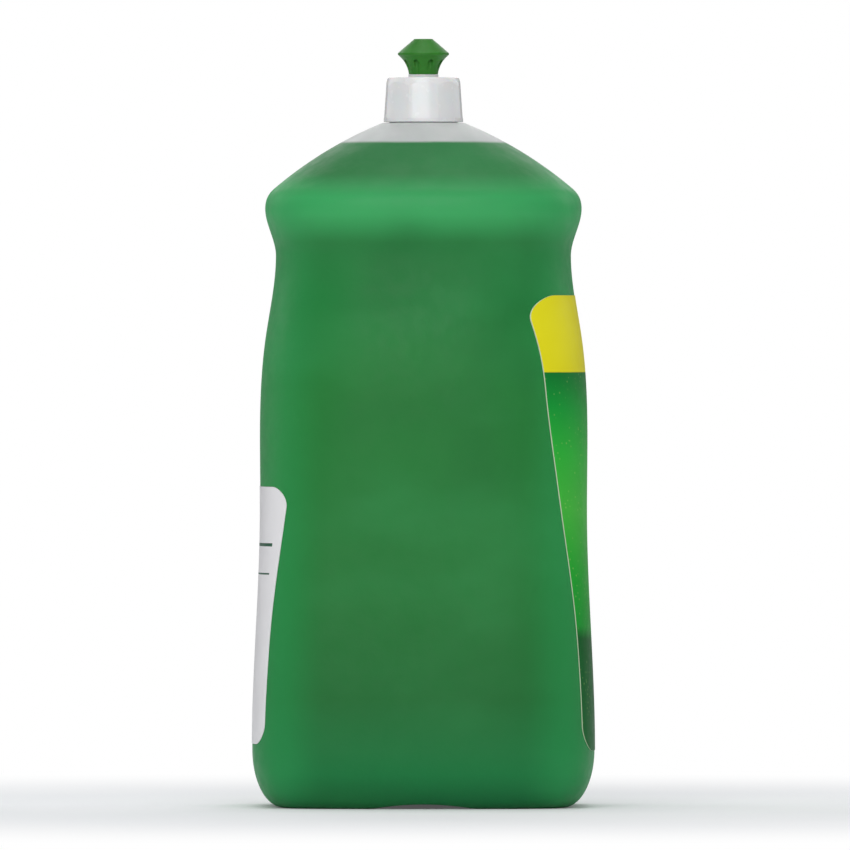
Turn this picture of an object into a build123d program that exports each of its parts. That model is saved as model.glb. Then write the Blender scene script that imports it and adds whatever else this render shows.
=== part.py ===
from build123d import *
import os
from math import atan2, cos, degrees, hypot, pi, radians, sin

# A large refill bottle of dish soap with a screw cap and a pull spout.
# Millimetres, +Z up.  The bottle stands on z = 0 with its neck axis on the Z axis.
# The front label faces -Y and the back label faces +Y.

# ---------------------------------------------------------------- driving dimensions
# bottle body
body_height = 258.3          # standing plane to the ledge at the root of the neck
body_depth = 129.2           # front to back at the belly
body_width = 110.0           # side to side at the belly
wall = 1.1                   # blown wall
heel_height = 21.7           # rounded lower edge, from the standing plane to the belly
heel_inset = 11.4            # from the belly in to the edge of the standing face
grip_height = 108.0          # middle of the slightly drawn-in grip
grip_inset = 3.0
taper_below_root = 81.3      # where the body starts to draw in towards the waist
taper_inset = 4.95
waist_below_root = 50.2      # narrow waist under the shoulder bead
waist_inset = 8.85
bead_below_root = 32.5       # rounded bead at the foot of the shoulder
bead_inset = 4.8
rim_below_root = 24.8        # where the bead has turned into the sloping shoulder
rim_inset = 8.3
shoulder_bulge = 1.9         # how far the shoulder's slope is domed
square_low = 4.6             # superellipse exponent of the boxy lower body
square_high = 2.85           # and of the rounder upper body
square_from = 62.0           # the boxy section ends here
square_to = 158.0            # the rounder section starts here
arch_rise = 1.7              # arch across the standing face, from side to side
arch_span = 38.0             # front to back, between the two standing pads
rings_heel = 6               # sections lofted along each stretch of the side outline
rings_flank = 9
rings_waist = 4
rings_bead = 4
rings_shoulder = 5
ring_points = 36             # spline points round each section

# neck and its thread
neck_height = 14.4           # root ledge to the sealing land
neck_diameter = 24.9
neck_bore = 21.4
neck_edge = 0.5              # rounding of the sealing land
neck_root_diameter = 31.0    # ledge that the shoulder ends in
thread_pitch = 25.4 / 6.0    # six turns to the inch
thread_turns = 1.25
thread_depth = 1.25
thread_foot = 2.1            # width of the ridge where it meets the neck
thread_crest = 0.9
thread_start = 3.8           # middle of the first turn above the root ledge
thread_root_sink = 0.3       # how far a ridge is rooted in its wall
thread_clearance = 0.25

# contents and labels
fill_below_root = 7.4        # surface of the soap
label_thickness = 0.2
label_width = 85.0
front_label_below_waist = 15.0
front_label_corner = 10.0
back_label_foot = 24.2
back_label_height = 96.8
back_label_corner = 8.0

# screw cap and its liner
cap_gap = 0.3                # between the root ledge and the cap's lower edge
cap_wall = 0.9
cap_bead_height = 1.4        # smooth band round the lower edge
cap_bead_rise = 0.15         # bead beyond the middle of a panel
cap_bead_edge = 0.2          # rounding of the lower edge
cap_panels = 8
cap_panel_crown = 0.75       # each panel's outward bow between two ridges
cap_panel_draft = 1.05       # how far a panel leans in towards the top
cap_side_rise = 0.55         # round side beyond the panels, at the bead
cap_top_diameter = 26.7
cap_top_edge = 0.8
cap_land_clearance = 0.35    # upper bore round the neck
cap_step_height = 11.4       # where the bore narrows, above the cap's lower edge
liner_thickness = 1.0
liner_bore = 18.0
deck_thickness = 1.8

# the cap's tower, which the pull spout slides on
collar_diameter = 11.3
collar_height = 1.05
tower_diameter = 8.6
tower_bore = 6.0
tower_height = 7.8           # above the collar
tower_bead_rise = 0.35       # bead that stops the spout
tower_bead_height = 1.2
post_diameter = 3.2
post_height = 13.1           # above the collar
web_height = 3.2
web_thickness = 1.0
web_count = 3

# pull spout
spout_travel = 4.5
spout_gap = 0.1              # over the collar when pushed down
spout_height = 13.35
spout_foot_diameter = 11.0
spout_rim_diameter = 19.3
spout_rim_height = 7.7       # widest edge above the spout's foot
spout_rim_band = 0.7         # blunt edge of the rim
spout_top_diameter = 6.9
spout_flank_height = 4.3     # the concave flank's middle point, above the foot
spout_flank_diameter = 13.9
spout_lip_height = 1.3       # inward lip that catches under the tower's bead
spout_lip_clearance = 0.15
spout_bore_clearance = 0.2   # bore round the tower's bead
spout_bore_height = 9.0
spout_cone_height = 11.4
orifice_clearance = 0.15     # round the post
flute_count = 8
flute_diameter = 2.1
flute_radius = 6.75          # centre of each flute from the axis
flute_top = 5.8              # straight part of a flute, above the spout's foot
flute_dome = 0.7             # height of its blunt point

# ---------------------------------------------------------------- places worked out
waist_height = body_height - waist_below_root
bead_height = body_height - bead_below_root
taper_height = body_height - taper_below_root
rim_height = body_height - rim_below_root
half_depth = body_depth / 2
neck_root_radius = neck_root_diameter / 2
neck_top = body_height + neck_height
thread_radius = neck_diameter / 2 + thread_depth
cap_bottom = body_height + cap_gap
cap_bore_radius = thread_radius + thread_clearance
cap_panel_radius = cap_bore_radius + cap_wall
deck_bottom = neck_top + liner_thickness
cap_top = deck_bottom + deck_thickness
collar_top = cap_top + collar_height
spout_foot = collar_top + spout_gap
fill_height = body_height - fill_below_root


# ---------------------------------------------------------------- bottle body
# Side outline of the body, front edge only: y is the half depth, z the height.
with BuildLine(Plane.YZ) as side_outline:
    heel = EllipticalCenterArc(
        (half_depth - heel_inset, heel_height), heel_inset, heel_height, start_angle=-90, arc_size=90
    )
    flank = Spline(
        heel @ 1,
        (half_depth - grip_inset, grip_height),
        (half_depth - taper_inset, taper_height),
        (half_depth - waist_inset, waist_height),
        tangents=[(0, 1), (0, 1)],
    )
    waist_curve = Spline(flank @ 1, (half_depth - bead_inset, bead_height), tangents=[(0, 1), (0, 1)])
    rim_point = (half_depth - rim_inset, rim_height)
    shoulder = SagittaArc(rim_point, (neck_root_radius, body_height), shoulder_bulge)
    bead_curve = Spline(waist_curve @ 1, rim_point, tangents=[(0, 1), shoulder % 0])


def section_at(point, tangent, growth):
    """One level section of the body: a superellipse, moved out from the surface by growth."""
    outward = Vector(0, tangent.Z, -tangent.Y).normalized()
    bead_reach = half_depth - bead_inset - neck_root_radius
    squaring = min(1.0, max(0.0, (point.Y - neck_root_radius) / bead_reach))
    spread = min(1.0, max(0.0, (point.Z - square_from) / (square_to - square_from)))
    eased = spread * spread * (3 - 2 * spread)
    exponent = 2 + (square_low + (square_high - square_low) * eased - 2) * squaring
    slimming = (body_depth - body_width) / 2 * squaring
    along_y = point.Y + growth * outward.Y
    along_x = point.Y - slimming + growth * outward.Y
    height = point.Z + growth * outward.Z
    points = []
    for step in range(ring_points):
        angle = 2 * pi * step / ring_points
        reach = (abs(cos(angle)) / along_x) ** exponent + (abs(sin(angle)) / along_y) ** exponent
        radius = reach ** (-1 / exponent)
        points.append((radius * cos(angle), radius * sin(angle)))
    with BuildSketch(Plane.XY.offset(height)) as section:
        with BuildLine():
            Spline(*points, periodic=True)
        make_face()
    return section.sketch


def body_solid(growth):
    """The body's full shape, moved out from its surface by growth and closed at both ends."""
    stretches = [
        (heel, rings_heel),
        (flank, rings_flank),
        (waist_curve, rings_waist),
        (bead_curve, rings_bead),
        (shoulder, rings_shoulder),
    ]
    sections = []
    for curve, count in stretches:
        first = 0 if curve is heel else 1
        for step in range(first, count + 1):
            share = step / count
            sections.append(section_at(curve @ share, curve % share, growth))
    with BuildPart() as body:
        loft(sections=sections)
    return body.part


def arch_solid(growth):
    """A wide flat cylinder lying across the body, which arches the standing face."""
    half_span = arch_span / 2
    radius = (half_span**2 + arch_rise**2) / (2 * arch_rise) + growth
    with BuildPart() as arch:
        with BuildSketch(Plane.YZ.offset(-body_width)):
            with Locations((0, arch_rise + growth - radius)):
                Circle(radius)
        extrude(amount=2 * body_width)
    return arch.part


def thread_ridge(wall_radius, inward, middle_height, turns):
    """A helical ridge of trapezoid section, rooted in a round wall."""
    towards_axis = -1 if inward else 1
    root = wall_radius - towards_axis * thread_root_sink
    crest_reach = thread_depth + thread_root_sink
    with BuildPart() as ridge:
        with BuildLine():
            path = Helix(thread_pitch, thread_pitch * turns, root, center=(0, 0, middle_height))
        with BuildSketch(Plane(origin=path @ 0, x_dir=(towards_axis, 0, 0), z_dir=path % 0)):
            with BuildLine():
                Polyline(
                    (0, -thread_foot / 2),
                    (0, thread_foot / 2),
                    (crest_reach, thread_crest / 2),
                    (crest_reach, -thread_crest / 2),
                    close=True,
                )
            make_face()
        sweep(path=path, is_frenet=True)
    return ridge.part


outer_body = body_solid(0)
inner_body = body_solid(-wall)
male_thread = thread_ridge(neck_diameter / 2, False, body_height + thread_start, thread_turns)

# everything inside the wall: the blown cavity and the bore of the neck
with BuildPart() as cavity:
    add(inner_body)
    add(arch_solid(wall), mode=Mode.SUBTRACT)
    with BuildSketch(Plane.XY.offset(body_height - neck_root_radius)):
        Circle(neck_bore / 2)
    extrude(amount=neck_root_radius + neck_height)

with BuildPart() as bottle:
    add(outer_body)
    add(arch_solid(0), mode=Mode.SUBTRACT)
    with BuildSketch(Plane.XY.offset(body_height - wall)):
        Circle(neck_diameter / 2)
    extrude(amount=neck_height + wall)
    fillet(bottle.edges().group_by(Axis.Z)[-1], neck_edge)
    add(male_thread)
    add(cavity.part, mode=Mode.SUBTRACT)
bottle.part.label = "bottle"

# the soap fills the cavity up to its surface
with BuildPart() as dish_soap:
    add(cavity.part)
    with BuildSketch(Plane.XY.offset(fill_height)):
        Rectangle(2 * body_width, 2 * body_depth)
    extrude(amount=body_height, mode=Mode.SUBTRACT)
dish_soap.part.label = "dish_soap"


# ---------------------------------------------------------------- labels
label_skin = body_solid(label_thickness)


def label_solid(direction, foot, height, corner):
    """A thin rounded label on one face of the body: -1 is the front, 1 the back."""
    with BuildPart() as label:
        with BuildSketch(Plane.XZ):
            with Locations((0, foot + height / 2)):
                RectangleRounded(label_width, height, corner)
        extrude(amount=-direction * body_depth)
        add(label_skin, mode=Mode.INTERSECT)
        add(outer_body, mode=Mode.SUBTRACT)
    return label.part


front_label_height = waist_height - front_label_below_waist - heel_height
front_label = label_solid(-1, heel_height, front_label_height, front_label_corner)
front_label.label = "front_label"
back_label = label_solid(1, back_label_foot, back_label_height, back_label_corner)
back_label.label = "back_label"


# ---------------------------------------------------------------- liner
with BuildPart() as cap_liner:
    with BuildSketch(Plane.XY.offset(neck_top)):
        Circle(neck_diameter / 2)
        Circle(liner_bore / 2, mode=Mode.SUBTRACT)
    extrude(amount=liner_thickness)
cap_liner.part.label = "cap_liner"


# ---------------------------------------------------------------- screw cap
def panel_outline(middle_radius):
    """A soft octagon: bowed panels that meet in ridges."""
    half_angle = pi / cap_panels
    bow = cap_panel_crown
    ridge_radius = (middle_radius - bow) / cos(half_angle)
    with BuildLine() as outline:
        for panel in range(cap_panels):
            middle = 2 * pi * panel / cap_panels
            ends = []
            for angle in (middle - half_angle, middle + half_angle):
                ends.append((ridge_radius * cos(angle), ridge_radius * sin(angle)))
            crown = (middle_radius * cos(middle), middle_radius * sin(middle))
            ThreePointArc(ends[0], crown, ends[1])
    return outline.line


panel_bottom = cap_bottom + cap_bead_height
bead_radius = cap_panel_radius + cap_bead_rise
cap_top_radius = cap_top_diameter / 2

with BuildPart() as panels:
    for height, radius in ((panel_bottom, cap_panel_radius), (cap_top, cap_panel_radius - cap_panel_draft)):
        with BuildSketch(Plane.XY.offset(height)):
            add(panel_outline(radius))
            make_face()
    loft()

side_middle = (cap_panel_radius + cap_side_rise * 0.1, panel_bottom + (cap_top - panel_bottom) * 0.62)
with BuildPart() as screw_cap:
    with BuildSketch(Plane.XZ) as cap_side:
        with BuildLine():
            Line((0, panel_bottom), (cap_panel_radius + cap_side_rise, panel_bottom))
            ThreePointArc(
                (cap_panel_radius + cap_side_rise, panel_bottom), side_middle, (cap_top_radius, cap_top)
            )
            Polyline((cap_top_radius, cap_top), (0, cap_top), (0, panel_bottom))
        make_face()
        fillet(cap_side.vertices().sort_by(Axis.Z)[-2:].sort_by(Axis.X)[-1], cap_top_edge)
    revolve(axis=Axis.Z)
    add(panels.part, mode=Mode.INTERSECT)
    with BuildSketch(Plane.XY.offset(cap_bottom)):
        Circle(bead_radius)
    extrude(amount=cap_bead_height)
    fillet(screw_cap.edges().group_by(Axis.Z)[0], cap_bead_edge)
    # bore for the neck, stepped in above its thread
    with BuildSketch(Plane.XZ):
        with BuildLine():
            upper_bore = neck_diameter / 2 + cap_land_clearance
            step_top = cap_bottom + cap_step_height
            Polyline(
                (0, cap_bottom),
                (cap_bore_radius, cap_bottom),
                (cap_bore_radius, step_top - (cap_bore_radius - upper_bore)),
                (upper_bore, step_top),
                (upper_bore, deck_bottom),
                (0, deck_bottom),
                close=True,
            )
        make_face()
    revolve(axis=Axis.Z, mode=Mode.SUBTRACT)
    # collar and tower
    with BuildSketch(Plane.XY.offset(cap_top)):
        Circle(collar_diameter / 2)
    extrude(amount=collar_height)
    with BuildSketch(Plane.XY.offset(collar_top)):
        Circle(tower_diameter / 2)
    extrude(amount=tower_height)
    with BuildSketch(Plane.XZ):
        with BuildLine():
            bead_bottom = spout_foot + spout_lip_height + spout_travel + spout_lip_clearance
            bead_reach = tower_diameter / 2 + tower_bead_rise
            Polyline(
                (tower_bore / 2 + 0.5, bead_bottom),
                (bead_reach, bead_bottom),
                (bead_reach, bead_bottom + tower_bead_height / 2),
                (tower_diameter / 2, bead_bottom + tower_bead_height),
                (tower_bore / 2 + 0.5, bead_bottom + tower_bead_height),
                close=True,
            )
        make_face()
    revolve(axis=Axis.Z)
    with BuildSketch(Plane.XY.offset(deck_bottom)):
        Circle(tower_bore / 2)
    extrude(amount=deck_thickness + collar_height + tower_height, mode=Mode.SUBTRACT)
    # post that plugs the spout, carried by webs across the tower
    tower_top = collar_top + tower_height
    with BuildSketch(Plane.XY.offset(tower_top - web_height)):
        Circle(post_diameter / 2)
    extrude(amount=web_height - tower_height + post_height)
    with BuildSketch(Plane.XY.offset(tower_top - web_height)):
        with PolarLocations(0, web_count):
            Rectangle(tower_bore / 2 + 0.3, web_thickness, align=(Align.MIN, Align.CENTER))
    extrude(amount=web_height)
    add(thread_ridge(cap_bore_radius, True, body_height + thread_start - thread_pitch / 2, thread_turns))
screw_cap.part.label = "screw_cap"


# ---------------------------------------------------------------- pull spout
tower_bead_radius = tower_diameter / 2 + tower_bead_rise
lip_radius = tower_diameter / 2 + spout_lip_clearance
bore_radius = tower_bead_radius + spout_bore_clearance
orifice_radius = post_diameter / 2 + orifice_clearance
rim_radius = spout_rim_diameter / 2
rim_low = spout_foot + spout_rim_height - spout_rim_band / 2
rim_high = rim_low + spout_rim_band
spout_top = spout_foot + spout_height

# one finger flute: an upright round cutter with a blunt point
with BuildPart() as flute:
    with BuildSketch(Plane.XZ):
        with BuildLine():
            Polyline(
                (0, spout_foot - 1),
                (flute_diameter / 2, spout_foot - 1),
                (flute_diameter / 2, spout_foot + flute_top),
                (flute_diameter / 4, spout_foot + flute_top + flute_dome),
                (0, spout_foot + flute_top + flute_dome),
                close=True,
            )
        make_face()
    revolve(axis=Axis.Z)

with BuildPart() as pull_spout:
    with BuildSketch(Plane.XZ):
        with BuildLine():
            ThreePointArc(
                (spout_foot_diameter / 2, spout_foot),
                (spout_flank_diameter / 2, spout_foot + spout_flank_height),
                (rim_radius, rim_low),
            )
            Polyline(
                (rim_radius, rim_low),
                (rim_radius, rim_high),
                (spout_top_diameter / 2, spout_top),
                (orifice_radius, spout_top),
                (orifice_radius, spout_foot + spout_cone_height),
                (bore_radius, spout_foot + spout_bore_height),
                (bore_radius, spout_foot + spout_lip_height),
                (lip_radius, spout_foot + spout_lip_height),
                (lip_radius, spout_foot),
                (spout_foot_diameter / 2, spout_foot),
            )
        make_face()
    revolve(axis=Axis.Z)
    with PolarLocations(flute_radius, flute_count, start_angle=180 / flute_count):
        add(flute.part, mode=Mode.SUBTRACT)
pull_spout.part.label = "pull_spout"


# ---------------------------------------------------------------- files
os.makedirs("parts", exist_ok=True)
export_step(bottle.part, "parts/bottle.step")
export_step(dish_soap.part, "parts/dish_soap.step")
export_step(front_label, "parts/front_label.step")
export_step(back_label, "parts/back_label.step")
export_step(cap_liner.part, "parts/cap_liner.step")
export_step(screw_cap.part, "parts/screw_cap.step")
export_step(pull_spout.part, "parts/pull_spout.step")
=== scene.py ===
from math import atan2, cos, hypot, pi, radians, sin, sqrt

import bpy
from bpy.props import FloatProperty, FloatVectorProperty, PointerProperty
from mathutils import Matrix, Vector


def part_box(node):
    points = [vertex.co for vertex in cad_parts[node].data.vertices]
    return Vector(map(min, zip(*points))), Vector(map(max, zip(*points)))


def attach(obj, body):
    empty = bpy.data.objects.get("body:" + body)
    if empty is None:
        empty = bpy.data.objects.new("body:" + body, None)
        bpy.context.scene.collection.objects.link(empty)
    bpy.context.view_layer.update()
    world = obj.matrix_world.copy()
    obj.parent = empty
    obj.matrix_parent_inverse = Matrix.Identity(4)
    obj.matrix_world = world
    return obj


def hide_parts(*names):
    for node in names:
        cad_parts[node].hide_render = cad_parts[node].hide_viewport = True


bl_info = {
    "name": "Dish soap bottle",
    "version": (1, 0, 0),
    "blender": (4, 5, 0),
    "location": "View3D > Sidebar > Bottle",
    "description": "Builds the visible bottle, soap, labels and closure finishes around the packed frame",
    "category": "Object",
}

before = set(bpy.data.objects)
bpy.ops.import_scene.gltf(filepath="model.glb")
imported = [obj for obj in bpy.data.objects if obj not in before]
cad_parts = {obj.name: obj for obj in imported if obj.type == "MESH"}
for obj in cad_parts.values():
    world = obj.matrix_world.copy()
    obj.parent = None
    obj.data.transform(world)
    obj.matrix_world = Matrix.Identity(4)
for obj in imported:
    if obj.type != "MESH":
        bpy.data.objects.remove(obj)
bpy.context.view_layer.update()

MM = 0.001

# ------------------------------------------------------------------ sizes, in metres
# read from the frame
NECK_TOP = Vector(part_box("bottle")[1]).z
SOAP_LEVEL = Vector(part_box("dish_soap")[1]).z
CAP_FOOT = Vector(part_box("screw_cap")[0]).z
FRONT_LOW, FRONT_HIGH = [Vector(corner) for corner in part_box("front_label")]
BACK_LOW, BACK_HIGH = [Vector(corner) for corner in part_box("back_label")]

# body outline: heights from the standing plane, insets from the half depth
CAP_GAP = 0.3 * MM
ROOT_HEIGHT = CAP_FOOT - CAP_GAP            # ledge at the root of the neck
HALF_DEPTH = 64.6 * MM
SLIMMING = 9.6 * MM                         # half depth less half width
WALL = 1.1 * MM
HEEL_HEIGHT = 21.7 * MM
HEEL_INSET = 11.4 * MM
GRIP = (108.0 * MM, 3.0 * MM)
TAPER = (ROOT_HEIGHT - 81.3 * MM, 4.95 * MM)
WAIST = (ROOT_HEIGHT - 50.2 * MM, 8.85 * MM)
BEAD = (ROOT_HEIGHT - 32.5 * MM, 4.8 * MM)
RIM = (ROOT_HEIGHT - 24.8 * MM, 8.3 * MM)
SHOULDER_BULGE = 1.9 * MM
BEAD_PULL = 1.15                            # strength of the end tangents of the bead's curve
SQUARE_LOW = 4.6                            # superellipse exponent of the boxy lower body
SQUARE_HIGH = 2.85                          # and of the rounder upper body
SQUARE_FROM = 62.0 * MM
SQUARE_TO = 158.0 * MM
ARCH_HALF_SPAN = 19.0 * MM
ARCH_RISE = 1.7 * MM

# neck and thread
NECK_ROOT_RADIUS = 15.5 * MM
NECK_RADIUS = 12.45 * MM
NECK_BORE_RADIUS = 10.7 * MM
NECK_FILLET = 0.8 * MM                      # where the neck leaves its ledge
NECK_EDGE = 0.5 * MM                        # outer edge of the sealing land
MOUTH_CHAMFER = 0.3 * MM
LEDGE_LIFT = 0.05 * MM
THREAD_PITCH = 25.4 / 6.0 * MM
THREAD_TURNS = 1.25
THREAD_START = ROOT_HEIGHT + 3.8 * MM
THREAD_REACH = 1.25 * MM
THREAD_FOOT = 2.1 * MM
THREAD_CREST = 0.9 * MM
THREAD_ROOT = 0.2 * MM                      # how far the ridge is sunk in the neck
THREAD_SHARPNESS = 0.85                     # reach of the ridge's shoulders beside its crest
THREAD_BEVEL = 0.1 * MM
THREAD_FADE = 0.06                          # share of the ridge that fades in or out

# contents and labels
SOAP_CLEARANCE = 0.08 * MM
SOAP_TOP_GAP = 0.3 * MM
MENISCUS = ((0.995, 0.0), (0.97, -0.25), (0.93, -0.4), (0.85, -0.45), (0.5, -0.45), (0.2, -0.45))
LABEL_FILM = 0.22 * MM
FRONT_CORNER = 10.0 * MM
BACK_CORNER = 8.0 * MM
BAND_SHARE = 0.831                          # height of the yellow band's lower edge on the front label
FIELD_DIP = 8.32                            # how fast the green field's colours dip to the sides
RULES = ((BACK_HIGH.z - 21.8 * MM, 0.62 * MM), (BACK_HIGH.z - 32.7 * MM, 0.32 * MM))
RULE_REACH = 38.5 * MM

# fineness of the meshes
RING_POINTS = 180
HEEL_STEPS = 24
FLANK_STEPS = 90
WAIST_STEPS = 20
BEAD_STEPS = 20
SHOULDER_STEPS = 30
FLOOR_STEPS = 22
INNER_FLOOR_STEPS = 10
SOAP_FLOOR_STEPS = 8
FILLET_STEPS = 6
EDGE_STEPS = 7
THREAD_STEPS = 160
LABEL_ACROSS = 96
LABEL_UP = 130
SPLINE_PASSES = 60

# stage: name, place, size, share of the key power
LAMPS = (
    ("front_lamp", (-2.4, 0.25, 1.2), 1.6, 1.95),
    ("top_lamp", (-0.1, 0.0, 1.7), 1.0, 0.5),
    ("back_lamp", (1.6, 0.0, 1.2), 1.4, 0.6),
    ("far_lamp", (1.0, -1.6, 1.0), 1.2, 0.35),
    ("near_lamp", (1.0, 1.6, 1.0), 1.2, 0.35),
)
LAMP_AIM = Vector((0, 0, 0.15))
WORLD_STRENGTH = 0.30
FLOOR_REACH = 4.0
FLOOR_GLOW = 0.08                           # lift of the floor as seen, which leaves its shadow
FLOOR_FADE = (0.20, 0.60)                   # from the axis, where the floor turns plain white
SENSOR_WIDTH = 36.0
VIEW_CENTRE = Vector((0, -0.6 * MM, 144.1 * MM))


# ------------------------------------------------------------------ body form
def clamped_spline(knots, value):
    """Smooth curve through (height, inset) knots that starts and ends upright."""
    count = len(knots)
    slopes = [0.0] * count
    for _ in range(SPLINE_PASSES):
        for i in range(1, count - 1):
            before = knots[i][0] - knots[i - 1][0]
            after = knots[i + 1][0] - knots[i][0]
            rise_before = (knots[i][1] - knots[i - 1][1]) / before
            rise_after = (knots[i + 1][1] - knots[i][1]) / after
            pull = 3 * (rise_before / before + rise_after / after)
            pull -= slopes[i - 1] / before + slopes[i + 1] / after
            slopes[i] = pull / (2 / before + 2 / after)
    for i in range(count - 1):
        if value <= knots[i + 1][0]:
            break
    span = knots[i + 1][0] - knots[i][0]
    share = (value - knots[i][0]) / span
    return hermite(knots[i][1], knots[i + 1][1], slopes[i] * span, slopes[i + 1] * span, share)


def hermite(start, end, leave, arrive, t):
    """Point at share t of a cubic from start to end with the given end tangents."""
    near = (2 * t**3 - 3 * t**2 + 1) * start + (t**3 - 2 * t**2 + t) * leave
    far = (3 * t**2 - 2 * t**3) * end + (t**3 - t**2) * arrive
    return near + far


def heel_and_flank():
    """Rounded heel, then the long flank up to the waist."""
    points = []
    for step in range(HEEL_STEPS + 1):
        turn = pi / 2 * step / HEEL_STEPS
        points.append((HALF_DEPTH - HEEL_INSET * (1 - sin(turn)), HEEL_HEIGHT * (1 - cos(turn))))
    knots = [(HEEL_HEIGHT, 0.0), GRIP, TAPER, WAIST]
    for step in range(1, FLANK_STEPS + 1):
        height = HEEL_HEIGHT + (WAIST[0] - HEEL_HEIGHT) * step / FLANK_STEPS
        points.append((HALF_DEPTH - clamped_spline(knots, height), height))
    return points


def waist_to_bead():
    """Eased swell from the waist out to the bead."""
    points = []
    for step in range(1, WAIST_STEPS + 1):
        t = step / WAIST_STEPS
        ease = t * t * (3 - 2 * t)
        inset = WAIST[1] + (BEAD[1] - WAIST[1]) * ease
        points.append((HALF_DEPTH - inset, WAIST[0] + (BEAD[0] - WAIST[0]) * t))
    return points


def bead_and_shoulder():
    """The bead's turn into the slope, and the slope as a shallow arc to the neck root."""
    bead = Vector((HALF_DEPTH - BEAD[1], BEAD[0]))
    rim = Vector((HALF_DEPTH - RIM[1], RIM[0]))
    root = Vector((NECK_ROOT_RADIUS, ROOT_HEIGHT))
    half_slope = (root - rim).length / 2
    arc_radius = (half_slope**2 + SHOULDER_BULGE**2) / (2 * SHOULDER_BULGE)
    half_turn = atan2(half_slope, arc_radius - SHOULDER_BULGE)
    along = (root - rim).normalized()
    outward = Vector((along.y, -along.x))
    leave = along * cos(half_turn) + outward * sin(half_turn)
    reach = (rim - bead).length * BEAD_PULL
    points = []
    for step in range(1, BEAD_STEPS + 1):
        point = hermite(bead, rim, Vector((0, reach)), leave * reach, step / BEAD_STEPS)
        points.append((point.x, point.y))
    centre = (rim + root) / 2 - outward * (arc_radius - SHOULDER_BULGE)
    for step in range(1, SHOULDER_STEPS + 1):
        turn = half_turn * (2 * step / SHOULDER_STEPS - 1)
        point = centre + outward * arc_radius * cos(turn) + along * arc_radius * sin(turn)
        points.append((point.x, point.y))
    return points


def with_normals(points):
    """Each outline point as (half depth, height, outward part, upward part of its normal)."""
    result = []
    for i, point in enumerate(points):
        low = points[max(0, i - 1)]
        high = points[min(len(points) - 1, i + 1)]
        run = hypot(high[0] - low[0], high[1] - low[1])
        result.append((point[0], point[1], (high[1] - low[1]) / run, (low[0] - high[0]) / run))
    result[0] = (points[0][0], points[0][1], 0.0, -1.0)
    return result


OUTLINE = with_normals(heel_and_flank() + waist_to_bead() + bead_and_shoulder())


def arch_height(y, growth):
    """Height of the arch across the standing face."""
    radius = (ARCH_HALF_SPAN**2 + ARCH_RISE**2) / (2 * ARCH_RISE) - growth
    if abs(y) >= radius:
        return -1.0
    return ARCH_RISE - growth - radius + sqrt(radius**2 - y * y)


def squareness(half_depth, height):
    """Superellipse exponent and slimming of a level section."""
    reach = HALF_DEPTH - BEAD[1] - NECK_ROOT_RADIUS
    squaring = min(1.0, max(0.0, (half_depth - NECK_ROOT_RADIUS) / reach))
    spread = min(1.0, max(0.0, (height - SQUARE_FROM) / (SQUARE_TO - SQUARE_FROM)))
    eased = spread * spread * (3 - 2 * spread)
    exponent = 2 + (SQUARE_LOW + (SQUARE_HIGH - SQUARE_LOW) * eased - 2) * squaring
    return exponent, SLIMMING * squaring


def section_ring(station, growth):
    """Points round one level section, moved out from the surface by growth."""
    half_depth, height, out_r, out_z = station
    exponent, slimming = squareness(half_depth, height)
    along_y = half_depth + growth * out_r
    along_x = half_depth - slimming + growth * out_r
    level = height + growth * out_z
    ring = []
    for step in range(RING_POINTS):
        angle = 2 * pi * step / RING_POINTS
        reach = (abs(cos(angle)) / along_x) ** exponent + (abs(sin(angle)) / along_y) ** exponent
        radius = reach ** (-1 / exponent)
        ring.append(Vector((radius * cos(angle), radius * sin(angle), level)))
    return ring


def lift_to_arch(ring, growth):
    """Raises the points of a ring that lie under the arch."""
    for p in ring:
        p.z = max(p.z, arch_height(p.y, growth))
    return ring


def wall_rings(stations, growth):
    return [lift_to_arch(section_ring(station, growth), growth) for station in stations]


def floor_rings(growth, steps):
    """Rings that close the lowest section towards its middle and follow the arch."""
    edge = section_ring(OUTLINE[0], growth)
    rings = []
    for step in range(1, steps + 1):
        share = step / steps
        rings.append(lift_to_arch([Vector((p.x * share, p.y * share, p.z)) for p in edge], growth))
    return rings


def round_ring(radius, height):
    angles = [2 * pi * step / RING_POINTS for step in range(RING_POINTS)]
    return [Vector((radius * cos(angle), radius * sin(angle), height)) for angle in angles]


# ------------------------------------------------------------------ meshes
def new_object(name, verts, faces, smooth=True):
    mesh = bpy.data.meshes.new(name)
    mesh.from_pydata(verts, [], faces)
    mesh.polygons.foreach_set("use_smooth", [smooth] * len(mesh.polygons))
    mesh.update()
    piece = bpy.data.objects.new(name, mesh)
    bpy.context.scene.collection.objects.link(piece)
    return piece


def mesh_from_rings(name, rings):
    """One smooth mesh from a run of rings, closed at both ends by a middle point."""
    verts = [tuple(p) for ring in rings for p in ring]
    count = RING_POINTS
    faces = []
    for r in range(len(rings) - 1):
        for s in range(count):
            n = (s + 1) % count
            faces.append((r * count + s, r * count + n, (r + 1) * count + n, (r + 1) * count + s))
    first_middle = len(verts)
    last = (len(rings) - 1) * count
    verts.append(tuple(sum(rings[0], Vector()) / count))
    verts.append(tuple(sum(rings[-1], Vector()) / count))
    faces += [(first_middle, (s + 1) % count, s) for s in range(count)]
    faces += [(first_middle + 1, last + s, last + (s + 1) % count) for s in range(count)]
    return new_object(name, verts, faces)


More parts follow.
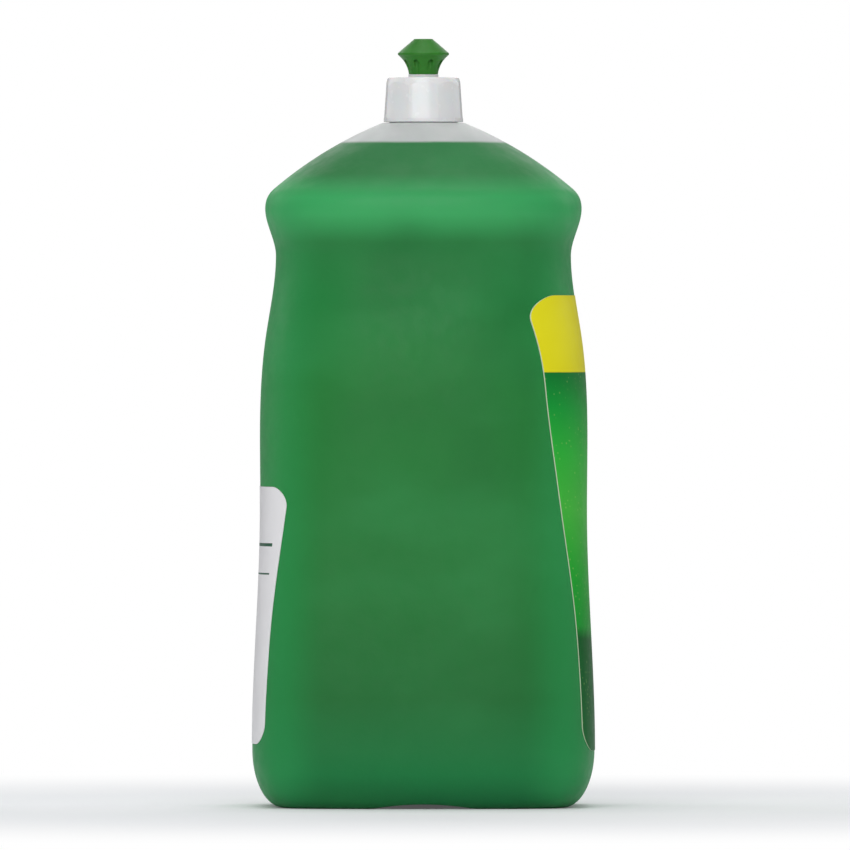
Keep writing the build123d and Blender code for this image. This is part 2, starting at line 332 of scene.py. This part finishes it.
def neck_rings():
    """Outside of the neck from its ledge to the sealing land, then down its bore."""
    foot = ROOT_HEIGHT + LEDGE_LIFT
    rings = [round_ring(NECK_RADIUS + NECK_FILLET + 0.1 * MM, foot)]
    for step in range(FILLET_STEPS + 1):
        turn = pi / 2 * step / FILLET_STEPS
        out, up = NECK_FILLET * (1 - sin(turn)), NECK_FILLET * (1 - cos(turn))
        rings.append(round_ring(NECK_RADIUS + out, foot + up))
    for step in range(EDGE_STEPS + 1):
        turn = pi / 2 * step / EDGE_STEPS
        inward, down = NECK_EDGE * (1 - cos(turn)), NECK_EDGE * (1 - sin(turn))
        rings.append(round_ring(NECK_RADIUS - inward, NECK_TOP - down))
    rings.append(round_ring(NECK_BORE_RADIUS + MOUTH_CHAMFER, NECK_TOP))
    rings.append(round_ring(NECK_BORE_RADIUS, NECK_TOP - MOUTH_CHAMFER))
    rings.append(round_ring(NECK_BORE_RADIUS, ROOT_HEIGHT - 0.6 * MM))
    return rings


def make_bottle():
    """The blown wall, outside and inside, as one closed mesh."""
    rings = floor_rings(0, FLOOR_STEPS) + wall_rings(OUTLINE[1:], 0) + neck_rings()
    inner = [station for station in OUTLINE if station[0] > NECK_BORE_RADIUS + 2 * MM]
    rings += wall_rings(reversed(inner[::2]), -WALL)
    rings += list(reversed(floor_rings(-WALL, INNER_FLOOR_STEPS)))[1:]
    return mesh_from_rings("bottle_shell", rings)


def make_thread():
    """The neck's helical ridge, faded in and out at its ends."""
    shoulder = THREAD_CREST / 2 + THREAD_BEVEL
    verts = []
    for step in range(THREAD_STEPS + 1):
        share = step / THREAD_STEPS
        angle = 2 * pi * THREAD_TURNS * share
        fade = min(1.0, share / THREAD_FADE, (1 - share) / THREAD_FADE)
        middle = THREAD_START + THREAD_PITCH * THREAD_TURNS * share
        reach = THREAD_REACH * fade
        profile = (
            (-THREAD_ROOT, -THREAD_FOOT / 2),
            (reach * THREAD_SHARPNESS, -shoulder),
            (reach, -THREAD_CREST / 4),
            (reach, THREAD_CREST / 4),
            (reach * THREAD_SHARPNESS, shoulder),
            (-THREAD_ROOT, THREAD_FOOT / 2),
        )
        for out, offset in profile:
            radius = NECK_RADIUS + out
            verts.append((radius * cos(angle), radius * sin(angle), middle + offset))
    sides = len(profile)
    faces = []
    for step in range(THREAD_STEPS):
        for side in range(sides):
            n = (side + 1) % sides
            here, ahead = step * sides, (step + 1) * sides
            faces.append((here + side, ahead + side, ahead + n, here + n))
    faces.append(tuple(range(sides)))
    faces.append(tuple(THREAD_STEPS * sides + side for side in reversed(range(sides))))
    return new_object("neck_thread", verts, faces)


def make_soap():
    """The soap, a hair inside the wall, with a meniscus that climbs it."""
    growth = -WALL - SOAP_CLEARANCE
    stations = [s for s in OUTLINE[1:] if s[1] + growth * s[3] < SOAP_LEVEL - SOAP_TOP_GAP]
    rings = floor_rings(growth, SOAP_FLOOR_STEPS) + wall_rings(stations[::2], growth)
    edge = rings[-1]
    for share, lift in MENISCUS:
        rings.append([Vector((p.x * share, p.y * share, SOAP_LEVEL + lift * MM)) for p in edge])
    return mesh_from_rings("soap_fill", rings)


def surface_y(x, z, growth):
    """Distance of the body's surface from the XZ plane, moved out by growth."""
    for i in range(len(OUTLINE) - 1):
        if OUTLINE[i + 1][1] >= z:
            break
    below, above = OUTLINE[i], OUTLINE[i + 1]
    share = (z - below[1]) / max(1e-9, above[1] - below[1])
    half_depth = below[0] + (above[0] - below[0]) * share
    exponent, slimming = squareness(half_depth, z)
    along_y = half_depth + growth
    along_x = half_depth - slimming + growth
    return along_y * max(0.0, 1 - (abs(x) / along_x) ** exponent) ** (1 / exponent)


def rounded(x, z, half_width, half_height, corner):
    """Draws a point of a square corner in to the label's round one."""
    corner_x, corner_z = half_width - corner, half_height - corner
    if abs(x) <= corner_x or abs(z) <= corner_z:
        return x, z
    dx, dz = (abs(x) - corner_x) / corner, (abs(z) - corner_z) / corner
    scale = max(dx, dz) / hypot(dx, dz) * corner
    return (corner_x + dx * scale) * (1 if x > 0 else -1), (corner_z + dz * scale) * (1 if z > 0 else -1)


def make_label(name, side, low, high, corner):
    """A thin film wrapped on the body: side is -1 for the front and 1 for the back."""
    half_width = (high.x - low.x) / 2
    half_height = (high.z - low.z) / 2
    middle = (low.z + high.z) / 2
    verts = []
    edge_values = []
    for growth in (LABEL_FILM, 0.0):
        for row in range(LABEL_UP + 1):
            v = sin(pi / 2 * (2 * row / LABEL_UP - 1))
            for column in range(LABEL_ACROSS + 1):
                u = sin(pi / 2 * (2 * column / LABEL_ACROSS - 1))
                x, z = rounded(u * half_width, v * half_height, half_width, half_height, corner)
                z += middle
                verts.append((x, side * surface_y(x, z, growth), z))
                at_edge = row in (0, LABEL_UP) or column in (0, LABEL_ACROSS)
                edge_values.append(1.0 if at_edge else 0.0)
    width = LABEL_ACROSS + 1
    size = (LABEL_UP + 1) * width
    faces = []
    for layer in range(2):
        for row in range(LABEL_UP):
            for column in range(LABEL_ACROSS):
                a = layer * size + row * width + column
                quad = (a, a + 1, a + width + 1, a + width)
                flip = (side > 0) != (layer == 1)
                faces.append(tuple(reversed(quad)) if flip else quad)
    rim = list(range(width))
    rim += [row * width + LABEL_ACROSS for row in range(1, LABEL_UP + 1)]
    rim += [LABEL_UP * width + column for column in range(LABEL_ACROSS - 1, -1, -1)]
    rim += [row * width for row in range(LABEL_UP - 1, 0, -1)]
    for i, a in enumerate(rim):
        b = rim[(i + 1) % len(rim)]
        quad = (a, a + size, b + size, b)
        faces.append(tuple(reversed(quad)) if side > 0 else quad)
    piece = new_object(name, verts, faces)
    attribute = piece.data.attributes.new("film_edge", "FLOAT", "POINT")
    attribute.data.foreach_set("value", edge_values)
    return piece


# ------------------------------------------------------------------ materials
class Nodes:
    """Short calls for building a node material."""

    def __init__(self, name):
        self.material = bpy.data.materials.new(name)
        self.material.use_nodes = True
        self.tree = self.material.node_tree
        self.tree.nodes.clear()
        self.output = self.node("OutputMaterial")
        self.shader = self.node("BsdfPrincipled")
        self.link(self.shader.outputs[0], self.output.inputs[0])
        self.place = self.node("TexCoord").outputs["Object"]

    def node(self, kind):
        return self.tree.nodes.new("ShaderNode" + kind)

    def link(self, source, target):
        self.tree.links.new(source, target)

    def feed(self, socket, value):
        """Gives a socket a number, a colour or another node's output."""
        if isinstance(value, (int, float)):
            socket.default_value = value
        elif isinstance(value, tuple):
            socket.default_value = (*value, 1)
        else:
            self.link(value, socket)

    def set(self, **values):
        for key, value in values.items():
            self.shader.inputs[key.replace("_", " ")].default_value = value

    def axis(self, index):
        split = self.node("SeparateXYZ")
        self.link(self.place, split.inputs[0])
        return split.outputs[index]

    def attribute(self, name):
        node = self.node("Attribute")
        node.attribute_name = name
        return node.outputs["Fac"]

    def maths(self, operation, first, second=0.0):
        node = self.node("Math")
        node.operation = operation
        for socket, value in zip(node.inputs, (first, second)):
            self.feed(socket, value)
        return node.outputs[0]

    def noise(self, scale, detail=3.0, roughness=0.5, stretch=(1, 1, 1)):
        mapping = self.node("Mapping")
        mapping.inputs["Scale"].default_value = stretch
        self.link(self.place, mapping.inputs[0])
        node = self.node("TexNoise")
        node.inputs["Scale"].default_value = scale
        node.inputs["Detail"].default_value = detail
        node.inputs["Roughness"].default_value = roughness
        self.link(mapping.outputs[0], node.inputs["Vector"])
        return node.outputs[0]

    def cells(self, scale):
        """Distance from the middle of each of many small cells."""
        node = self.node("TexVoronoi")
        node.inputs["Scale"].default_value = scale
        self.link(self.place, node.inputs["Vector"])
        return node.outputs[0]

    def ramp(self, value, stops, smooth=False):
        """Colour by value; stops are (place, colour)."""
        node = self.node("ValToRGB")
        if smooth:
            node.color_ramp.interpolation = "B_SPLINE"
        elements = node.color_ramp.elements
        while len(elements) > 1:
            elements.remove(elements[-1])
        for i, (place, colour) in enumerate(stops):
            element = elements[0] if i == 0 else elements.new(place)
            element.position = place
            element.color = (*colour, 1)
        self.link(value, node.inputs[0])
        return node.outputs[0]

    def spread(self, value, low, high, to_low=0.0, to_high=1.0, eased=True):
        """Maps low..high onto to_low..to_high, held at the ends."""
        node = self.node("MapRange")
        node.interpolation_type = "SMOOTHSTEP" if eased else "LINEAR"
        self.link(value, node.inputs[0])
        for socket, number in zip(node.inputs[1:5], (low, high, to_low, to_high)):
            socket.default_value = number
        return node.outputs[0]

    def mix(self, factor, first, second):
        node = self.node("Mix")
        node.data_type = "RGBA"
        for index, value in ((0, factor), (6, first), (7, second)):
            self.feed(node.inputs[index], value)
        return node.outputs[2]

    def bump(self, height, strength, distance):
        node = self.node("Bump")
        node.inputs["Strength"].default_value = strength
        node.inputs["Distance"].default_value = distance
        self.link(height, node.inputs["Height"])
        self.link(node.outputs[0], self.shader.inputs["Normal"])

    def colour(self, source):
        self.link(source, self.shader.inputs["Base Color"])

    def cloudy(self, value, dark, light):
        """Two near colours in soft clouds."""
        return self.ramp(value, [(0.3, dark), (0.7, light)], True)

    def roughness(self, scale, low, high, detail=3.0):
        """Roughness that wanders between two values."""
        wander = self.spread(self.noise(scale, detail), 0.3, 0.7, low, high)
        self.link(wander, self.shader.inputs["Roughness"])


def from_screen(red, green, blue):
    """A screen colour, 0 to 255, as the linear colour that a shader takes."""
    values = []
    for channel in (red, green, blue):
        share = channel / 255
        values.append(share / 12.92 if share <= 0.04045 else ((share + 0.055) / 1.055) ** 2.4)
    return tuple(values)


# Green of the filled wall, from the standing plane (0) up to the neck root (1). The rises and dips in
# lightness along the height are painted light: a painted highlight band round the shoulder at 0.865 to 0.89,
# and painted shade in the darker bands.
GREEN_AND_PAINTED_LIGHT_BY_HEIGHT = [
    (0.0, from_screen(28, 110, 62)),
    (0.05, from_screen(32, 130, 70)),
    (0.16, from_screen(34, 116, 54)),
    (0.31, from_screen(38, 126, 58)),
    (0.60, from_screen(42, 132, 60)),
    (0.74, from_screen(38, 136, 66)),
    (0.825, from_screen(44, 132, 68)),
    (0.865, from_screen(66, 176, 102)),
    (0.89, from_screen(62, 172, 100)),
    (0.925, from_screen(44, 122, 66)),
    (1.0, from_screen(40, 120, 66)),
]

# Green of the front label's field, from its foot (0) up to the yellow band.
FIELD_BY_HEIGHT = [
    (0.0, from_screen(16, 104, 46)),
    (0.235, from_screen(12, 96, 38)),
    (0.262, from_screen(24, 156, 50)),
    (0.36, from_screen(28, 168, 48)),
    (0.52, from_screen(72, 190, 66)),
    (0.64, from_screen(50, 184, 62)),
    (0.74, from_screen(26, 160, 60)),
    (0.83, from_screen(18, 118, 50)),
]


def blown_plastic():
    """Satin translucent wall: green where soap lies behind it, with a painted highlight, painted reflections,
    a painted glow and painted shade in that green; grey and frosted above.
    """
    n = Nodes("blown_plastic")
    height = n.axis(2)
    # soap green by height, with a painted highlight band at the shoulder and painted shade bands
    green = n.ramp(n.spread(height, 0.0, ROOT_HEIGHT, eased=False), GREEN_AND_PAINTED_LIGHT_BY_HEIGHT)
    blotches = n.spread(n.noise(11, 3, 0.5), 0.45, 0.72, 0.0, 0.45)
    green = n.mix(blotches, green, from_screen(26, 100, 46))
    # painted reflections: lighter green streaks, stretched upright
    painted_reflection_streaks = n.spread(n.noise(9, 3, 0.5, (1, 1, 2.2)), 0.42, 0.72, 0.0, 0.30)
    green = n.mix(painted_reflection_streaks, green, from_screen(62, 160, 92))
    # painted glow: lighter green towards the narrow ends of the body
    painted_side_glow = n.spread(n.maths("ABSOLUTE", n.axis(1)), 0.036, 0.056, 0.0, 0.42)
    green = n.mix(painted_side_glow, green, from_screen(50, 168, 94))
    frosted = n.cloudy(n.noise(60, 3), from_screen(186, 192, 190), from_screen(206, 211, 208))
    wavering = n.maths("ADD", height, n.maths("MULTIPLY", n.noise(40, 2), 0.8 * MM))
    level = SOAP_LEVEL + 0.4 * MM
    n.colour(n.mix(n.spread(wavering, level - 0.6 * MM, level + 0.6 * MM), green, frosted))
    n.roughness(180, 0.42, 0.54)
    grain = n.maths("ADD", n.noise(420, 3), n.maths("MULTIPLY", n.noise(55, 2), 1.5))
    n.bump(grain, 0.16, 0.4 * MM)
    n.set(Subsurface_Weight=0.2, Subsurface_Scale=0.005, Subsurface_Radius=(0.4, 1.0, 0.5))
    n.set(Specular_IOR_Level=0.16, Coat_Weight=0.03, Coat_Roughness=0.3)
    return n.material


def soap_liquid():
    """Clear deep green soap with a few slow swirls."""
    n = Nodes("soap_liquid")
    n.colour(n.cloudy(n.noise(18, 4, 0.6), from_screen(18, 96, 40), from_screen(40, 140, 66)))
    n.roughness(80, 0.04, 0.10, detail=2)
    n.set(Coat_Weight=0.4, IOR=1.38)
    return n.material


def moulded_white(finish):
    """Glossy white moulding with faint flow marks."""
    n = Nodes("moulded_white")
    n.colour(n.cloudy(n.noise(70, 3, 0.5, (1, 1, 0.5)), tuple(finish.cap_dark), tuple(finish.cap_light)))
    n.roughness(300, 0.18, 0.28)
    n.bump(n.noise(900, 3), 0.06, 0.2 * MM)
    n.set(Subsurface_Weight=0.15, Subsurface_Scale=0.002, Coat_Weight=0.3, Coat_Roughness=0.08)
    return n.material


def moulded_green(finish):
    """Satin green moulding with soft clouds and a fine grain."""
    n = Nodes("moulded_green")
    n.colour(n.cloudy(n.noise(160, 4, 0.55), tuple(finish.spout_dark), tuple(finish.spout_light)))
    n.roughness(500, 0.34, 0.46)
    n.bump(n.noise(1400, 3), 0.08, 0.2 * MM)
    n.set(Subsurface_Weight=0.1, Subsurface_Scale=0.001, Specular_IOR_Level=0.18)
    return n.material


def liner_foam():
    """Closed-cell sealing foam."""
    n = Nodes("liner_foam")
    cells = n.cells(2200)
    n.colour(n.ramp(cells, [(0.0, from_screen(236, 236, 230)), (0.8, from_screen(214, 214, 206))]))
    n.bump(cells, 0.3, 0.1 * MM)
    n.set(Roughness=0.7)
    return n.material


def front_print(finish):
    """Printed film: a yellow head band over a green field that glows in its middle."""
    n = Nodes("front_print")
    height = n.axis(2)
    tall = FRONT_HIGH.z - FRONT_LOW.z
    share = n.maths("DIVIDE", n.maths("SUBTRACT", height, FRONT_LOW.z), tall)
    dip = n.maths("MULTIPLY", n.maths("POWER", n.axis(0), 2.0), FIELD_DIP)
    field = n.ramp(n.maths("SUBTRACT", share, dip), FIELD_BY_HEIGHT)
    specks = n.spread(n.cells(420), 0.10, 0.22, 0.34, 0.0)
    patchy = n.maths("MULTIPLY", specks, n.spread(n.noise(60, 3), 0.42, 0.62))
    field = n.mix(patchy, field, from_screen(168, 214, 120))
    band = [(0.35, tuple(finish.band_dark)), (0.65, tuple(finish.band_light))]
    band_edge = FRONT_LOW.z + tall * BAND_SHARE
    in_band = n.spread(height, band_edge - 0.2 * MM, band_edge + 0.2 * MM)
    printed = n.mix(in_band, field, n.ramp(n.noise(40, 2), band, True))
    # painted highlight: the film's rim is lightened along its cut edge
    n.colour(n.mix(n.attribute("film_edge"), printed, from_screen(206, 222, 190)))
    n.roughness(240, 0.36, 0.46, detail=2)
    n.bump(n.noise(320, 3), 0.05, 0.2 * MM)
    n.set(Specular_IOR_Level=0.08)
    return n.material


def back_print(finish):
    """White printed film with a heavy and a fine green rule."""
    n = Nodes("back_print")
    paper = n.cloudy(n.noise(90, 3), tuple(finish.paper_dark), tuple(finish.paper_light))
    inside = n.maths("LESS_THAN", n.maths("ABSOLUTE", n.axis(0)), RULE_REACH)
    for level, half_thickness in RULES:
        off_level = n.maths("ABSOLUTE", n.maths("SUBTRACT", n.axis(2), level))
        on_rule = n.maths("LESS_THAN", off_level, half_thickness)
        paper = n.mix(n.maths("MULTIPLY", on_rule, inside), paper, tuple(finish.rule_colour))
    # painted highlight: the film's rim is lightened along its cut edge
    n.colour(n.mix(n.attribute("film_edge"), paper, from_screen(244, 242, 244)))
    n.roughness(240, 0.30, 0.40, detail=2)
    n.bump(n.noise(320, 3), 0.05, 0.2 * MM)
    n.set(Specular_IOR_Level=0.3)
    return n.material


def pale_floor(colour):
    """Pale floor that keeps the bottle's shadow near it and is plain white beyond."""
    n = Nodes("pale_floor")
    n.colour(n.mix(n.spread(n.noise(6, 3), 0.3, 0.7, 0.0, 0.3), tuple(colour), (0.80, 0.82, 0.86)))
    n.set(Roughness=0.8, Specular_IOR_Level=0.1, Emission_Color=(1, 1, 1, 1))
    squares = [n.maths("POWER", n.axis(index), 2.0) for index in (0, 1)]
    distance = n.maths("SQRT", n.maths("ADD", *squares))
    rays = n.node("LightPath")
    seen = n.maths("MAXIMUM", rays.outputs["Is Camera Ray"], rays.outputs["Is Transmission Ray"])
    n.link(n.maths("MULTIPLY", seen, FLOOR_GLOW), n.shader.inputs["Emission Strength"])
    chooser = n.node("MixShader")
    n.link(n.maths("MULTIPLY", n.spread(distance, *FLOOR_FADE), seen), chooser.inputs[0])
    n.link(n.shader.outputs[0], chooser.inputs[1])
    n.link(n.node("Emission").outputs[0], chooser.inputs[2])
    n.link(chooser.outputs[0], n.output.inputs[0])
    return n.material


# ------------------------------------------------------------------ fastening to the frame
def finish_piece(piece, body, material, replaces=()):
    piece.data.materials.append(material)
    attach(piece, body)
    if replaces:
        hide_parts(*replaces)


def paint_node(node, material):
    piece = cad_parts[node]
    piece.data.materials.clear()
    piece.data.materials.append(material)


# ------------------------------------------------------------------ stage
def place_lamp(scene, name, place, size, power):
    lamp = bpy.data.lights.new(name, "AREA")
    lamp.shape = "SQUARE"
    lamp.size = size
    lamp.energy = power
    holder = bpy.data.objects.new(name, lamp)
    holder.location = place
    holder.rotation_euler = (LAMP_AIM - Vector(place)).to_track_quat("-Z", "Y").to_euler()
    scene.collection.objects.link(holder)


def studio_world():
    """Soft even light, with plain white behind the object."""
    world = bpy.data.worlds.new("studio")
    world.use_nodes = True
    tree = world.node_tree
    light = tree.nodes["Background"]
    light.inputs[0].default_value = (1, 1, 1, 1)
    light.inputs[1].default_value = WORLD_STRENGTH
    backdrop = tree.nodes.new("ShaderNodeBackground")
    backdrop.inputs[0].default_value = (1, 1, 1, 1)
    backdrop.inputs[1].default_value = 1.0
    rays = tree.nodes.new("ShaderNodeLightPath")
    seen = tree.nodes.new("ShaderNodeMath")
    seen.operation = "MAXIMUM"
    chooser = tree.nodes.new("ShaderNodeMixShader")
    tree.links.new(rays.outputs["Is Camera Ray"], seen.inputs[0])
    tree.links.new(rays.outputs["Is Transmission Ray"], seen.inputs[1])
    tree.links.new(seen.outputs[0], chooser.inputs[0])
    tree.links.new(light.outputs[0], chooser.inputs[1])
    tree.links.new(backdrop.outputs[0], chooser.inputs[2])
    tree.links.new(chooser.outputs[0], tree.nodes["World Output"].inputs[0])
    return world


def place_camera(scene, settings):
    camera_data = bpy.data.cameras.new("camera")
    camera_data.sensor_width = SENSOR_WIDTH
    camera_data.lens = SENSOR_WIDTH * settings.distance / settings.view_height
    camera_data.clip_end = 50
    camera = bpy.data.objects.new("camera", camera_data)
    back = Vector((-cos(settings.elevation), 0, sin(settings.elevation)))
    camera.location = VIEW_CENTRE + back * settings.distance
    camera.rotation_euler = (-back).to_track_quat("-Z", "Y").to_euler()
    scene.collection.objects.link(camera)
    scene.camera = camera


# ------------------------------------------------------------------ add-on
def colour_property(name, description, default):
    return FloatVectorProperty(
        name=name, description=description, subtype="COLOR", size=3, min=0.0, max=1.0, default=default
    )


class BottleFinishSettings(bpy.types.PropertyGroup):
    """Colours of the closure and of the labels' printed fields"""

    cap_dark: colour_property("Cap, darker", "Darker clouds of the white cap", from_screen(236, 235, 236))
    cap_light: colour_property("Cap, lighter", "Lighter clouds of the white cap", from_screen(243, 242, 243))
    spout_dark: colour_property("Spout, darker", "Darker clouds of the spout", from_screen(48, 120, 40))
    spout_light: colour_property("Spout, lighter", "Lighter clouds of the spout", from_screen(62, 136, 50))
    band_dark: colour_property("Band, darker", "Darker tone of the yellow band", from_screen(236, 226, 22))
    band_light: colour_property("Band, lighter", "Lighter tone of the yellow band", from_screen(243, 234, 40))
    paper_dark: colour_property("Paper, darker", "Darker back label tone", from_screen(240, 239, 241))
    paper_light: colour_property("Paper, lighter", "Lighter back label tone", from_screen(246, 245, 247))
    rule_colour: colour_property("Rules", "The back label's two rules", from_screen(20, 88, 60))


class BottleStageSettings(bpy.types.PropertyGroup):
    """Camera, lamps and floor"""

    view_height: FloatProperty(
        name="View height", description="Height of what the camera frames", default=0.3213, unit="LENGTH"
    )
    distance: FloatProperty(
        name="Distance", description="Camera to the bottle's axis", default=8.0, unit="LENGTH"
    )
    elevation: FloatProperty(
        name="Elevation", description="Camera above the horizon", default=radians(0.3), subtype="ANGLE"
    )
    key_power: FloatProperty(
        name="Key power", description="Power that each lamp has a share of", default=14.0, unit="POWER"
    )
    floor_colour: colour_property("Floor", "Floor colour", (0.86, 0.87, 0.89))


class BOTTLE_OT_shell(bpy.types.Operator):
    """Build the blown bottle and its neck thread"""

    bl_idname = "bottle.shell"
    bl_label = "Bottle"

    def execute(self, context):
        plastic = blown_plastic()
        finish_piece(make_bottle(), "bottle_body", plastic, ["bottle"])
        finish_piece(make_thread(), "bottle_body", plastic)
        return {"FINISHED"}


class BOTTLE_OT_soap(bpy.types.Operator):
    """Fill the bottle with soap"""

    bl_idname = "bottle.soap"
    bl_label = "Soap"

    def execute(self, context):
        finish_piece(make_soap(), "bottle_body", soap_liquid(), ["dish_soap"])
        return {"FINISHED"}


class BOTTLE_OT_labels(bpy.types.Operator):
    """Wrap the front and back labels on the bottle"""

    bl_idname = "bottle.labels"
    bl_label = "Labels"

    def execute(self, context):
        finish = context.scene.bottle_finish
        front = make_label("front_film", -1, FRONT_LOW, FRONT_HIGH, FRONT_CORNER)
        finish_piece(front, "bottle_body", front_print(finish), ["front_label"])
        back = make_label("back_film", 1, BACK_LOW, BACK_HIGH, BACK_CORNER)
        finish_piece(back, "bottle_body", back_print(finish), ["back_label"])
        return {"FINISHED"}


class BOTTLE_OT_cap(bpy.types.Operator):
    """Finish the screw cap and its liner"""

    bl_idname = "bottle.cap"
    bl_label = "Cap and liner finish"

    def execute(self, context):
        paint_node("screw_cap", moulded_white(context.scene.bottle_finish))
        paint_node("cap_liner", liner_foam())
        return {"FINISHED"}


class BOTTLE_OT_spout(bpy.types.Operator):
    """Finish the pull spout"""

    bl_idname = "bottle.spout"
    bl_label = "Spout finish"

    def execute(self, context):
        paint_node("pull_spout", moulded_green(context.scene.bottle_finish))
        return {"FINISHED"}


class BOTTLE_OT_stage(bpy.types.Operator):
    """Set the floor, the lamps and the camera"""

    bl_idname = "bottle.stage"
    bl_label = "Stage"

    def execute(self, context):
        scene = context.scene
        settings = scene.bottle_stage
        scene.view_settings.view_transform = "Standard"
        reach = FLOOR_REACH
        corners = [(-reach, -reach, 0), (reach, -reach, 0), (reach, reach, 0), (-reach, reach, 0)]
        floor = new_object("floor", corners, [(0, 1, 2, 3)], smooth=False)
        floor.data.materials.append(pale_floor(settings.floor_colour))
        for name, place, size, share in LAMPS:
            place_lamp(scene, name, place, size, settings.key_power * share)
        scene.world = studio_world()
        place_camera(scene, settings)
        return {"FINISHED"}


OPERATORS = (
    BOTTLE_OT_shell,
    BOTTLE_OT_soap,
    BOTTLE_OT_labels,
    BOTTLE_OT_cap,
    BOTTLE_OT_spout,
    BOTTLE_OT_stage,
)


class BOTTLE_PT_panel(bpy.types.Panel):
    """Lists the bottle's operators and their settings"""

    bl_idname = "BOTTLE_PT_panel"
    bl_label = "Dish soap bottle"
    bl_space_type = "VIEW_3D"
    bl_region_type = "UI"
    bl_category = "Bottle"

    def draw(self, context):
        for operator in OPERATORS:
            self.layout.operator(operator.bl_idname)
        for settings in (context.scene.bottle_finish, context.scene.bottle_stage):
            for field in settings.__annotations__:
                self.layout.prop(settings, field)


CLASSES = (BottleFinishSettings, BottleStageSettings, *OPERATORS, BOTTLE_PT_panel)


def register():
    for cls in CLASSES:
        bpy.utils.register_class(cls)
    bpy.types.Scene.bottle_finish = PointerProperty(type=BottleFinishSettings)
    bpy.types.Scene.bottle_stage = PointerProperty(type=BottleStageSettings)


def unregister():
    del bpy.types.Scene.bottle_stage
    del bpy.types.Scene.bottle_finish
    for cls in reversed(CLASSES):
        bpy.utils.unregister_class(cls)


def main():
    register()
    bpy.ops.bottle.shell()
    bpy.ops.bottle.soap()
    bpy.ops.bottle.labels()
    bpy.ops.bottle.cap()
    bpy.ops.bottle.spout()
    bpy.ops.bottle.stage()


if __name__ == "__main__":
    main()
